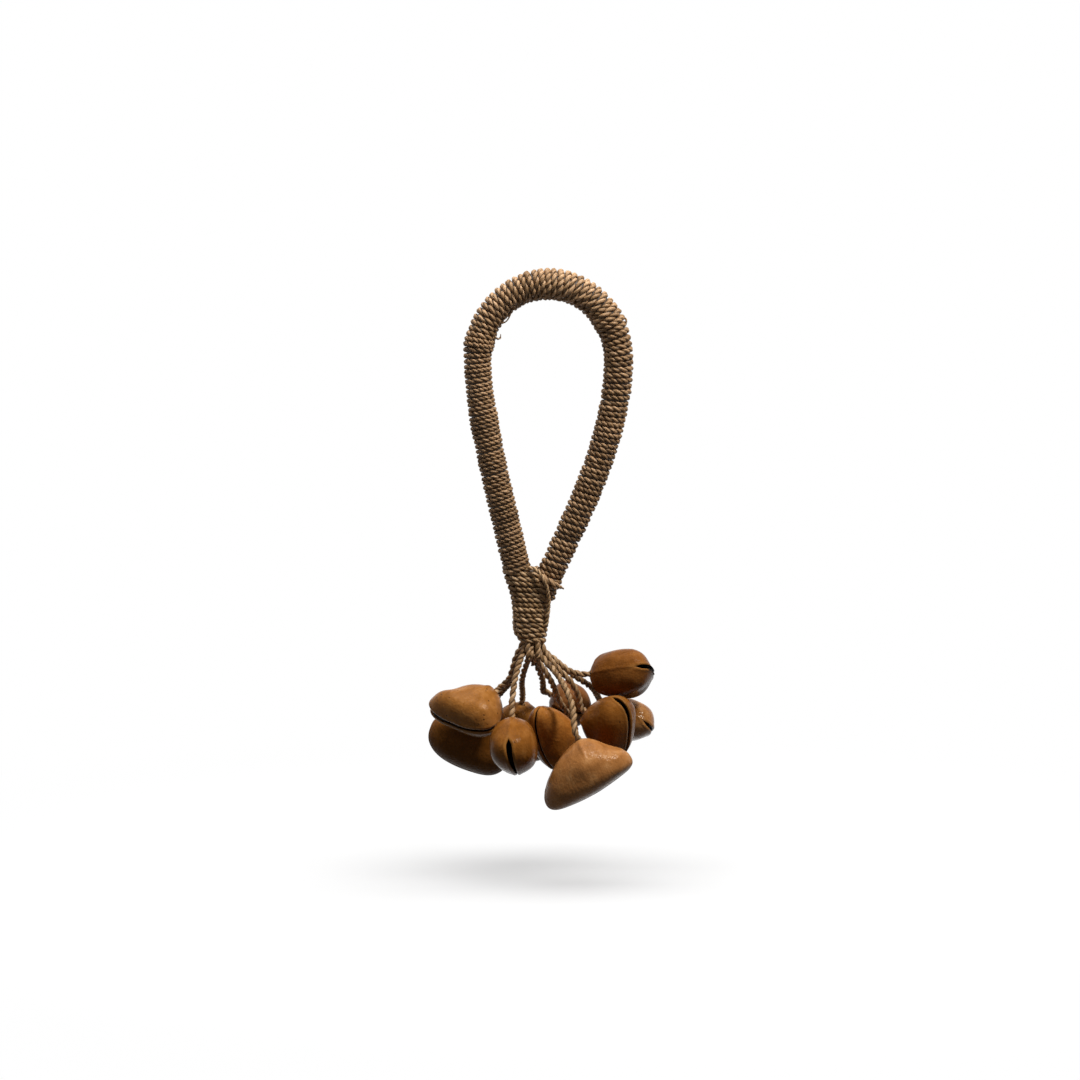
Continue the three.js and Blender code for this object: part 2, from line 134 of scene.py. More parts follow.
def throughPoints(points):
    # a smooth curve through the points, slower where they lie close together
    points = [np.array(point, float) for point in points]
    row = [2 * points[0] - points[1], *points, 2 * points[-1] - points[-2]]
    stepsBetween = 24
    share = np.linspace(0, 1, stepsBetween, endpoint=False)[:, None]
    pieces = []
    for before, start, end, after in zip(row, row[1:], row[2:], row[3:]):
        gaps = [math.sqrt(np.linalg.norm(b - a)) for a, b in ((before, start), (start, end), (end, after))]
        leave = (start - before) / gaps[0] - (end - before) / (gaps[0] + gaps[1]) + (end - start) / gaps[1]
        arrive = (end - start) / gaps[1] - (after - start) / (gaps[1] + gaps[2]) + (after - end) / gaps[2]
        pull = ease(share)
        bow = share * (1 - share)
        pieces.append(
            start * (1 - pull) + end * pull + bow * ((1 - share) * leave - share * arrive) * gaps[1]
        )
    return np.concatenate([*pieces, points[-1][None]])


def makePiece(name, points, faces, materials, attributes=None):
    mesh = bpy.data.meshes.new(name)
    mesh.from_pydata((np.asarray(points) * unit).tolist(), [], faces)
    for label, values in (attributes or {}).items():
        values = np.asarray(values, np.float32)
        vector = values.ndim == 2
        layer = mesh.attributes.new(label, "FLOAT_VECTOR" if vector else "FLOAT", "POINT")
        layer.data.foreach_set("vector" if vector else "value", values.ravel())
    for material in materials:
        mesh.materials.append(material)
    mesh.polygons.foreach_set("use_smooth", np.ones(len(mesh.polygons), bool))
    piece = bpy.data.objects.new(name, mesh)
    bpy.context.scene.collection.objects.link(piece)
    return piece


# Materials. Sizes of patterns are in millimetres.
def linearColour(hexCode):
    channels = [int(hexCode[at:at + 2], 16) / 255 for at in (1, 3, 5)]
    linear = [share / 12.92 if share <= 0.04045 else ((share + 0.055) / 1.055) ** 2.4 for share in channels]
    return linear + [1.0]


def addNode(tree, kind, values=None, links=None, stops=None, **settings):
    node = tree.nodes.new("ShaderNode" + kind)
    for key, value in settings.items():
        setattr(node, key, value)
    for key, value in (values or {}).items():
        node.inputs[key].default_value = value
    for key, socket in (links or {}).items():
        tree.links.new(socket, node.inputs[key])
    for index, (place, hexCode) in enumerate(stops or []):
        ramp = node.color_ramp.elements
        stop = ramp[index] if index < 2 else ramp.new(place)
        stop.position = place
        stop.color = linearColour(hexCode)
    return node


def newMaterial(name):
    material = bpy.data.materials.new(name)
    material.use_nodes = True
    tree = material.node_tree
    return material, tree, tree.nodes["Principled BSDF"]


def attributeAt(tree, name, output="Fac"):
    return addNode(tree, "Attribute", attribute_name=name).outputs[output]


def mapRange(tree, value, fromRange, toRange=(0, 1), **settings):
    ends = dict(zip(("From Min", "From Max", "To Min", "To Max"), (*fromRange, *toRange)))
    return addNode(tree, "MapRange", ends, {"Value": value}, **settings).outputs[0]


def noiseAt(tree, place, size, detail, **values):
    inputs = {"Scale": 1 / (size * unit), "Detail": detail, **values}
    return addNode(tree, "TexNoise", inputs, {"Vector": place}).outputs["Fac"]


def grainAt(tree, place, width, length):
    # noise that is drawn out along z
    stretch = [1 / (size * unit) for size in (width, width, length)]
    drawn = addNode(tree, "VectorMath", {1: stretch}, {0: place}, operation="MULTIPLY")
    inputs = {"Scale": 1.0, "Detail": 3.0, "Roughness": 0.6}
    return addNode(tree, "TexNoise", inputs, {"Vector": drawn.outputs[0]}).outputs["Fac"]


def plusShare(tree, base, share, extra):
    return addNode(tree, "Math", {1: share}, {0: extra, 2: base}, operation="MULTIPLY_ADD").outputs[0]


def colourRamp(tree, amount, stops):
    return addNode(tree, "ValToRGB", links={"Fac": amount}, stops=stops).outputs["Color"]


def tint(tree, colour, hexCode, amount):
    values = {"Color2": linearColour(hexCode)}
    return addNode(tree, "MixRGB", values, {"Fac": amount, "Color1": colour}).outputs["Color"]


def setBump(tree, shader, height, look):
    values = {"Strength": look["bumpStrength"], "Distance": look["bump"] * unit}
    bump = addNode(tree, "Bump", values, {"Height": height})
    tree.links.new(bump.outputs["Normal"], shader.inputs["Normal"])


plantIor = 1.5


# Sedge: dried leaf strips rolled into two plies. The eye sees long fibre lines, straw-brown backs with a
# dull waxy glint, and nearly black gaps between the plies, which are painted shade in the colour.
sedgeLook = {
    "fibreWidth": 0.28,  # wider than a real fibre, so that the lines show
    "fibreLength": 7,
    "blotch": 16,
    "blotchShare": 0.35,
    "toneShare": 0.14,
    "rampPlaces": (0.42, 0.92, 0.66),  # of the dark, the pale and the middle colour
    # painted shade: the dark colour painted onto the ply sides that face the gaps between the plies
    "gap": "#0a0501",
    "bump": 0.12,
    "bumpStrength": 0.7,
    "roughness": 0.42,
    "sheen": 0.22,
    "wrap": ("#38230f", "#93704a", "#c9a27a"),
    "binding": ("#3d2710", "#a37e54", "#dcb88e"),
    "string": ("#3a2611", "#957047", "#cfab82"),
}


def twistedSedge(name, key, look=sedgeLook):
    dark, middle, pale = look[key]
    material, tree, shader = newMaterial(name)
    fibre = attributeAt(tree, "fibre", "Vector")
    tone = attributeAt(tree, "tone")
    crease = attributeAt(tree, "crease")
    lines = grainAt(tree, fibre, look["fibreWidth"], look["fibreLength"])
    blotch = noiseAt(tree, fibre, look["blotch"], 2.0)
    # tone carries the cord's random tone and, on the winding's crown, painted light
    toned = plusShare(tree, lines, look["toneShare"], tone)
    mixed = plusShare(tree, toned, look["blotchShare"], blotch)
    colour = colourRamp(tree, mixed, zip(look["rampPlaces"], (dark, pale, middle)))
    # painted shade: the crease mask darkens the colour towards the gap colour
    tree.links.new(tint(tree, colour, look["gap"], crease), shader.inputs["Base Color"])
    setBump(tree, shader, lines, look)
    shader.inputs["Roughness"].default_value = look["roughness"]
    shader.inputs["IOR"].default_value = plantIor
    shader.inputs["Specular IOR Level"].default_value = look["sheen"]
    return material


# Cane: a rod under the winding. Only slivers of it show, a matt straw brown with dark grain.
caneLook = {
    "grain": 1.5,
    "ramp": ((0.35, "#3b2a17"), (0.7, "#6d5333")),
    "roughness": 0.75,
}


def driedCane(name):
    material, tree, shader = newMaterial(name)
    place = addNode(tree, "TexCoord").outputs["Object"]
    grain = noiseAt(tree, place, caneLook["grain"], 4.0)
    tree.links.new(colourRamp(tree, grain, caneLook["ramp"]), shader.inputs["Base Color"])
    shader.inputs["Roughness"].default_value = caneLook["roughness"]
    return material


# Nut shell: a ripe, woody shell that is scraped and rubbed smooth. The eye sees a warm mottled brown, faint
# streaks from the stem to the mouth, small dark pits, paler lips and a few small gleams. The lips are paler
# from wear and from painted highlight, and the rim's roll into the mouth is darkened with painted shade.
shellLook = {
    "mottle": 6,
    "streakWidth": 1.3,
    "streakLength": 16,
    "streakShare": 0.25,
    "rampPlaces": (0.12, 1.0, 0.62),  # of the dark, the pale and the middle colour
    # paler lips: partly wear, partly painted highlight along the rims
    "lipColour": "#a9793f",
    "pitSpacing": 3.2,
    "pitSize": 0.9,
    "pitEdge": (0.6, 1.4),  # where a pit begins to fade and ends, in half its size
    "pitColour": "#4a2a10",
    "pitDepth": 0.8,
    # painted shade: the dark colour that the rim's roll takes on towards the inside of the mouth
    "hollowShadeColour": "#1e1107",
    "grit": 1.5,
    "gritShare": 1.6,
    "bump": 0.3,
    "bumpStrength": 0.5,
    "roughness": (0.13, 0.2),
    "roughnessFrom": (0.3, 0.7),
    "polish": 0.025,
    "glint": "#fff0d8",
}


def polishedShell(name, dark, middle, pale, pits, shine, look=shellLook):
    material, tree, shader = newMaterial(name)
    place = addNode(tree, "TexCoord").outputs["Object"]
    lip = attributeAt(tree, "lip")
    hollow = attributeAt(tree, "hollow")
    mottle = noiseAt(tree, place, look["mottle"], 4.0, Roughness=0.55)
    streak = grainAt(tree, place, look["streakWidth"], look["streakLength"])
    grit = noiseAt(tree, place, look["grit"], 3.0)
    pitScale = {"Scale": 1 / (look["pitSpacing"] * unit), "Randomness": 1.0}
    cells = addNode(tree, "TexVoronoi", pitScale, {"Vector": place})
    halfPit = look["pitSize"] / 2 / look["pitSpacing"]
    edge = [share * halfPit for share in look["pitEdge"]]
    near = mapRange(tree, cells.outputs["Distance"], edge, (1, 0))
    pick = addNode(tree, "Math", {1: 1 - pits}, {0: cells.outputs["Color"]}, operation="GREATER_THAN")
    pitted = addNode(tree, "Math", links={0: near, 1: pick.outputs[0]}, operation="MULTIPLY")
    pit = pitted.outputs[0]
    mixed = plusShare(tree, mottle, look["streakShare"], streak)
    colour = colourRamp(tree, mixed, zip(look["rampPlaces"], (dark, pale, middle)))
    # the lips are paled (wear and painted highlight), the pits darkened, and the roll into the mouth
    # darkened with painted shade
    for hexCode, amount in (("lipColour", lip), ("pitColour", pit), ("hollowShadeColour", hollow)):
        colour = tint(tree, colour, look[hexCode], amount)
    tree.links.new(colour, shader.inputs["Base Color"])
    rough = mapRange(tree, mixed, look["roughnessFrom"], look["roughness"])
    tree.links.new(rough, shader.inputs["Roughness"])
    relief = plusShare(tree, streak, look["gritShare"], grit)
    setBump(tree, shader, plusShare(tree, relief, -look["pitDepth"], pit), look)
    shader.inputs["IOR"].default_value = plantIor
    shader.inputs["Specular IOR Level"].default_value = look["polish"] * shine
    shader.inputs["Specular Tint"].default_value = linearColour(look["glint"])
    return material


# Raw inside of a shell: scraped, very dark and faintly mottled, with no polish.
insideLook = {
    "insideMottle": 2.2,
    "ramp": ((0.35, "#160c05"), (0.75, "#3a2412")),
    "roughness": 0.85,
}


def rawShell(name):
    material, tree, shader = newMaterial(name)
    place = addNode(tree, "TexCoord").outputs["Object"]
    insideMottle = noiseAt(tree, place, insideLook["insideMottle"], 4.0)
    tree.links.new(colourRamp(tree, insideMottle, insideLook["ramp"]), shader.inputs["Base Color"])
    shader.inputs["Roughness"].default_value = insideLook["roughness"]
    return material


wrapSedge = twistedSedge("wrap_sedge", "wrap")
bindingSedge = twistedSedge("binding_sedge", "binding")
stringSedge = twistedSedge("string_sedge", "string")
insideShell = rawShell("raw_shell_inside")
print("materials made")


# Twisted cord: two plies laid round each other along a line of evenly spaced points
cord = {
    "step": 0.9,
    "sides": 10,
    "plyRadius": 0.31,  # share of the cord's diameter
    "plyOffset": 0.2,
    "strips": 3,  # leaf strips that show round a ply
    "stripDepth": 0.07,
    "stripTwist": 2.4,
    "stripSlip": 3,
    "unevenness": 0.09,
    "layWander": 0.28,
    "plyShift": 7,  # keeps the fibre lines of the two plies apart
    # creaseFrom and creaseRun place the painted shade of the gaps between the plies, and underShade is how
    # dark the sleeve is painted
    "creaseFrom": 0.5,  # cosine, from the outside of the ply, where the dark gap begins
    "creaseRun": 1.2,
    "underSides": 20,
    "underShade": 0.85,
}


def frameAlong(line):
    along = unitLength(np.gradient(line, axis=0))
    across = np.empty_like(line)
    guide = np.array((0.31, 0.94, 0.13))
    for at, direction in enumerate(along):
        guide = guide - direction * guide.dot(direction)
        guide = guide / math.sqrt(guide.dot(guide))
        across[at] = guide
    return along, across, np.cross(along, across)


def tubeFaces(count, sides):
    # quads from ring to ring, and a cap on each end
    ringStart = np.arange(count - 1)[:, None] * sides
    this = ringStart + np.arange(sides)
    following = ringStart + (np.arange(sides) + 1) % sides
    quads = np.stack([this, following, following + sides, this + sides], axis=-1)
    startCap = list(range(sides - 1, -1, -1))
    endCap = list(range((count - 1) * sides, count * sides))
    return quads.reshape(-1, 4).tolist() + [startCap, endCap]


def joinTubes(tubes):
    labels = ("points", "fibre", "tone", "crease")
    joined = {label: np.concatenate([tube[label] for tube in tubes]) for label in labels}
    joined["faces"] = []
    first = 0
    for tube in tubes:
        joined["faces"] += [[first + corner for corner in face] for face in tube["faces"]]
        first += len(tube["points"])
    return joined


def twistCord(line, diameter, lay, seed, size=None):
    # size is the cord's thickness along the line, as a share of its diameter
    count = len(line)
    size = np.ones(count) if size is None else size
    along, across, other = frameAlong(line)
    distance = lengthAlong(line)
    sides = cord["sides"]
    corner = 2 * math.pi * np.arange(sides) / sides
    uneven = 1 + cord["layWander"] * wander(count, spacing=14, seed=seed)
    turn = 2 * math.pi * np.cumsum(np.gradient(distance) / (lay * size * uneven))
    slip = distance / cord["stripTwist"] + cord["stripSlip"] * wander(count, spacing=30, seed=seed + 17)
    # painted shade: a mask that darkens each ply on the sides that face the other ply
    crease = ease((cord["creaseFrom"] - np.cos(corner)) / cord["creaseRun"])
    plies = []
    for ply in range(2):
        angle = turn + math.pi * ply
        outward = np.cos(angle)[:, None] * across + np.sin(angle)[:, None] * other
        middle = line + outward * (cord["plyOffset"] * diameter * size)[:, None]
        plyAlong = unitLength(np.gradient(middle, axis=0))
        outward = unitLength(outward - plyAlong * (outward * plyAlong).sum(1, keepdims=True))
        sideways = np.cross(plyAlong, outward)
        swell = 1 + cord["unevenness"] * wander(count, spacing=7, seed=seed + 11 + ply)
        radius = cord["plyRadius"] * diameter * size * swell
        strips = cord["strips"] * corner + slip[:, None]
        reach = radius[:, None] * (1 + cord["stripDepth"] * np.cos(strips))
        ring = (
            middle[:, None]
            + (reach * np.cos(corner))[..., None] * outward[:, None]
            + (reach * np.sin(corner))[..., None] * sideways[:, None]
        )
        straight = np.empty_like(ring)
        straight[..., 0] = radius[:, None] * np.cos(corner) + cord["plyShift"] * ply
        straight[..., 1] = radius[:, None] * np.sin(corner) + seed
        straight[..., 2] = distance[:, None]
        plies.append({
            "points": ring.reshape(-1, 3),
            "faces": tubeFaces(count, sides),
            "fibre": straight.reshape(-1, 3) * unit,
            "tone": np.repeat(wander(count, spacing=22, seed=seed + 23 + ply), sides),
            "crease": np.tile(crease, count),
        })
    return joinTubes(plies)


def underLayer(middle, axes, reaches):
    # the imported inner side of a winding: a sleeve that closes the gaps between its turns, painted dark
    # with painted shade
    sides = cord["underSides"]
    corner = 2 * math.pi * np.arange(sides) / sides
    points = middle[:, None].repeat(sides, 1)
    for axis, reach, wave in zip(axes, reaches, (np.cos(corner), np.sin(corner))):
        points = points + axis[:, None] * (reach[:, None] * wave)[..., None]
    points = points.reshape(-1, 3)
    return {
        "points": points,
        "faces": tubeFaces(len(middle), sides),
        "fibre": points * unit,
        "tone": np.zeros(len(points)),
        "crease": np.full(len(points), cord["underShade"]),
    }


def taper(count, loss, start):
    # full size, then thinner from a share of the way along to the end
    return 1 - loss * ease((np.linspace(0, 1, count) - start) / (1 - start))


def cordPiece(name, cords, material):
    attributes = joinTubes(cords)
    points, faces = attributes.pop("points"), attributes.pop("faces")
    return makePiece(name, points, faces, [material], attributes)


# Handle line: up the left leg, round the crown and down the right leg, along the middle of the cane
handle = {
    "crownRadius": 38.5,
    "crownRise": 41.2,
    "crownZ": -33.2,
    "leftLegPull": 39.5,
    "leftEndPull": 12.5,
    "rightLegPull": 58,
    "rightEndPull": 18.5,
    "neckX": -8.8,
    "endSpacing": 7.5,
    "endZ": -171,
    "legSteps": 400,
    "crownSteps": 600,
}


def bezier(*corners):
    share = np.linspace(0, 1, handle["legSteps"])[:, None]
    rest = 1 - share
    start, startPull, endPull, end = (np.array(point, float) for point in corners)
    return (
        rest ** 3 * start
        + 3 * rest ** 2 * share * startPull
        + 3 * rest * share ** 2 * endPull
        + share ** 3 * end
    )


def handleLine():
    leftX, rightX = (handle["neckX"] + side * handle["endSpacing"] / 2 for side in (-1, 1))
    radius, top, low = handle["crownRadius"], handle["crownZ"], handle["endZ"]
    left = bezier(
        (leftX, 0, low),
        (leftX, 0, low + handle["leftEndPull"]),
        (-radius, 0, top - handle["leftLegPull"]),
        (-radius, 0, top),
    )
    angle = np.linspace(math.pi, 0, handle["crownSteps"])[1:-1]
    height = top + handle["crownRise"] * np.sin(angle)
    crown = np.stack([radius * np.cos(angle), 0 * angle, height], axis=1)
    right = bezier(
        (radius, 0, top),
        (radius, 0, top - handle["rightLegPull"]),
        (rightX, 0, low + handle["rightEndPull"]),
        (rightX, 0, low),
    )
    return np.concatenate([left, crown, right])


handleRow = handleLine()
handleRun = lengthAlong(handleRow)


def handleAt(distance):
    # the middle of the handle, and the two ways across it
    reach = 0.5
    middle, ahead, behind = (placesAt(distance + step, handleRun, handleRow) for step in (0, reach, -reach))
    along = unitLength(ahead - behind)
    inward = np.stack([along[:, 2], 0 * distance, -along[:, 0]], axis=1)
    return middle, inward, np.cross(along, inward)


def runAt(z, side):
    # distance along the handle where that leg passes a height
    half = len(handleRow) // 2
    rows = slice(0, half) if side == "left" else slice(half, None)
    heights, runs = handleRow[rows, 2], handleRun[rows]
    order = np.argsort(heights)
    return float(np.interp(z, heights[order], runs[order]))


# Handle winding: one cord close-wound from the neck up the left leg, over the crown and down the right leg
winding = {
    "diameter": 3.25,
    # painted light: how much paler the cord is painted on the crown, where light from above falls on it
    "crownLight": 0.7,
    "lay": 7.4,
    "leftEndZ": -149.5,
    "rightEndZ": -164.5,
    # distance along the handle from its left end, with the value there
    "pitch": (
        (0, 2.55), (90, 2.5), (135, 2.55), (165, 3.1), (240, 3.3), (290, 3), (340, 2.95),
        (375, 3.2), (420, 3.3),
    ),
    "size": (
        (0, 0.82), (90, 0.78), (135, 0.8), (175, 1.06), (240, 1.1), (285, 0.95), (340, 0.93),
        (420, 1.02),
    ),
    "outerRadius": (
        (0, 8.0), (49, 8.3), (90, 8.3), (140, 7.95), (173, 8.2), (206, 8.8), (238, 8.45),
        (271, 8.3), (321, 8.2), (362, 7.95), (411, 7.6),
    ),
    "pitchWander": 0.12,
    "radiusWander": 0.2,
    "turnSlip": 0.3,  # how far single turns lie out of step
    "turnSwell": 0.09,
    # leg, z, height and width
    "bumps": (("left", -24, 0.9, 4.5), ("left", -66, 0.35, 6), ("right", -12, 0.6, 4)),
    "samples": 9000,
    # how fast the painted light grows towards the top of the crown
    "crownFade": 1.3,
    "underDepth": 0.1,  # of the sleeve below the middle of the cord, as a share of its diameter
    "underStep": 30,  # samples from ring to ring of the sleeve
}


def makeWinding():
    start, end = runAt(winding["leftEndZ"], "left"), runAt(winding["rightEndZ"], "right")
    count = winding["samples"]
    distance = np.linspace(start, end, count)
    pitch = tableAt(distance, winding["pitch"])
    pitch = pitch * (1 + winding["pitchWander"] * wander(count, spacing=40, seed=3))
    angle = 2 * math.pi * np.cumsum((end - start) / count / pitch)
    turns = angle[-1] / (2 * math.pi)
    radius = tableAt(distance, winding["outerRadius"]) - winding["diameter"] / 2
    radius = radius + winding["radiusWander"] * wander(count, spacing=35, seed=5)
    for side, z, height, width in winding["bumps"]:
        radius = radius + height * np.exp(-(((distance - runAt(z, side)) / width) ** 2))
    slip = winding["turnSlip"] * wander(count, spacing=0.7 * (count / turns), seed=31)
    middle, inward, across = handleAt(distance + slip)
    whole = middle + radius[:, None] * (np.cos(angle)[:, None] * inward + np.sin(angle)[:, None] * across)
    line = evenSteps(whole, cord["step"])
    print(f"winding: {turns:.0f} turns, {lengthAlong(line)[-1] * unit:.2f} m of cord")
    passed = np.interp(lengthAlong(line), lengthAlong(whole), distance)
    size = tableAt(passed, winding["size"])
    size = size + winding["turnSwell"] * wander(len(line), spacing=38, seed=33)
    wound = twistCord(line, winding["diameter"], winding["lay"], 40, size)
    # painted light: the cord on top of the crown is painted paler through its tone
    onCrown = ease((line[:, 2] - handle["crownZ"]) / handle["crownRise"] * winding["crownFade"])
    wound["tone"] = wound["tone"] + winding["crownLight"] * np.tile(np.repeat(onCrown, cord["sides"]), 2)
    thin = slice(None, None, winding["underStep"])
    packed = radius[thin] - winding["underDepth"] * winding["diameter"]
    under = underLayer(middle[thin], (inward[thin], across[thin]), (packed, packed))
    return cordPiece("handle_winding", [wound, under], wrapSedge)


windingPiece = makeWinding()
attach(windingPiece, "handle")
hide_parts("handle_wrap")

# Neck binding: loops round both leg ends, then round the gathered strings
binding = {
    "diameter": 3.1,
    "lay": 7.4,
    "top": -148.5,
    "bottom": -188.2,
    "pitch": 2.8,
    "leftEdge": (
        (-188.5, -15.4), (-186.5, -16.8), (-183, -19.2), (-179, -19.9), (-172, -19.7),
        (-164, -20.6), (-157, -22.8), (-152, -24.5), (-148, -25.8),
    ),
    "rightEdge": (
        (-188.5, -1), (-186, -0.6), (-180, 0.2), (-172, 0.8), (-166, 1.2), (-160, 0.8), (-148, -3),
    ),
    "slope": ((-190, 0.12), (-181, 0.12), (-177, 0.02), (-160, -0.03), (-146, -0.1)),
    "depth": ((-188.5, 8.2), (-180, 8.7), (-168, 8.2), (-158, 7.9), (-148, 7.4)),
    "depthWander": 0.25,
    "heightWander": 0.3,
    "squareness": 0.8,  # 1 is an oval, and less is squarer
    "samplesPerTurn": 90,
    "underInset": 0.3,
    "underStep": 30,
}


def makeBinding():
    turns = (binding["top"] - binding["bottom"]) / binding["pitch"]
    count = int(turns * binding["samplesPerTurn"])
    turn = np.linspace(0, turns, count)
    z = binding["top"] - binding["pitch"] * turn
    z = z + binding["heightWander"] * wander(count, spacing=60, seed=8)
    radius = binding["diameter"] / 2
    left = tableAt(z, binding["leftEdge"]) + radius
    right = tableAt(z, binding["rightEdge"]) - radius
    depth = tableAt(z, binding["depth"]) - radius
    depth = depth + binding["depthWander"] * wander(count, spacing=50, seed=9)
    angle = 2 * math.pi * turn
    waves = (np.cos(angle), np.sin(angle))
    x, y = (np.sign(wave) * np.abs(wave) ** binding["squareness"] for wave in waves)
    centre, width = (left + right) / 2, (right - left) / 2
    lift = tableAt(z, binding["slope"]) * width * x * np.where(y < 0, 1, -1)
    line = np.stack([centre + width * x, depth * y, z + lift * np.abs(y)], axis=1)
    line = evenSteps(line, cord["step"])
    thin = slice(None, None, binding["underStep"])
    middle = np.stack([centre, 0 * z, z], axis=1)[thin]
    axes = [np.tile(axis, (len(middle), 1)) for axis in ((1.0, 0, 0), (0, 1.0, 0))]
    under = underLayer(middle, axes, [reach[thin] - binding["underInset"] for reach in (width, depth)])
    wound = twistCord(line, binding["diameter"], binding["lay"], 61)
    return cordPiece("neck_loops", [wound, under], bindingSedge)


bindingPiece = makeBinding()
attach(bindingPiece, "handle")
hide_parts("neck_binding")

# Tie strand: out of the crotch and down over the right-hand side of the binding, tucked in at its bottom
tie = {
    "diameter": 2.5,
    "lay": 6.5,
    "points": (
        (-13, -3, -149),
        (-9.8, -6.4, -147),
        (-6.4, -8.4, -147.8),
        (-3.2, -9.6, -151.6),
        (-0.9, -9.4, -156.6),
        (0.1, -8.4, -161.8),
        (0.4, -7, -166.6),
        (-0.2, -6.6, -173),
        (-1, -6, -178),
        (-2.8, -3.6, -181.5),
    ),
}


def makeTie():
    line = evenSteps(throughPoints(tie["points"]), cord["step"])
    return cordPiece("tie_cord", [twistCord(line, tie["diameter"], tie["lay"], 77)], bindingSedge)


# Cut and frayed ends of cord that stick out of the winding: diameter and points of each
strayEnds = {
    "step": 0.3,  # in diameters, as is the lay
    "lay": 2.6,
    "taper": (0.6, 0.7),  # share of the size that is lost, and where that starts
    "ends": (
        (3.4, ((-3, -6.5, -151.5), (1, -8.2, -154.4), (5, -7.6, -156.6), (8.6, -6.2, -158.4))),
        (1.2, (
            (-31.4, -3, -19.5), (-29, -3, -20.6), (-27.2, -3, -21.8), (-26.1, -3, -21.2), (-25.8, -3, -19.1)
        )),
        (0.9, ((-20, -3, -7), (-21.2, -3, -10), (-22.6, -3, -12), (-24.2, -3, -13), (-27.4, -3, -13.6))),
        (1.3, ((36, -2, -10), (40.4, -2, -9.8), (42.6, -2, -11.6), (41.6, -2, -14), (38, -2, -15))),
    ),
}


def makeStrayEnds():
    cords = []
    for seed, (diameter, points) in enumerate(strayEnds["ends"]):
        line = evenSteps(throughPoints(points), strayEnds["step"] * diameter)
        size = taper(len(line), *strayEnds["taper"])
        cords.append(twistCord(line, diameter, strayEnds["lay"] * diameter, 81 + seed, size))
    return cordPiece("stray_ends", cords, wrapSedge)


strayPiece = makeStrayEnds()
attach(strayPiece, "handle")
tiePiece = makeTie()
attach(tiePiece, "handle")
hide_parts("tie_strand")
print("handle wound and neck bound")

# Nuts. The hole is where the string enters, stem the way the string leaves it and lips the way the mouth
# runs. Size is the length along the mouth, the height from hole to mouth and the thickness across the
# cheeks. Shoulder is the share of the height where the face is widest, and slit the share where the mouth
# begins. Lean shifts the mouth along itself, slant lifts its one end, and beak sharpens the edge there.
# Gape is the mouth's width and how much wider it is at one end. Exit is the string's place in the neck,
# ring and azimuth, via the points that it passes, and leadIn its last points where it comes over the shell's
# shoulder. Pushes are dents and swellings: place along the lips and the stem, size, and the way that they
# move the skin, outward on both cheeks for the middle value. Browns are the dark, middle and pale colours of
# the shell, pits the share of its spots that show, and shine its gleam.
# Each nut's browns were set against how bright that nut looks, so besides the nut's own colour they hold
# some painted light and shade.
plainNut = {
    "lean": 0,
    "slant": 0,
    "beak": 0.2,
    "slit": 0.45,
    "gape": (2.2, 0),
    "shoulder": 0.62,
    "pushes": (),
    "pits": 0.2,
    "shine": 1,
}
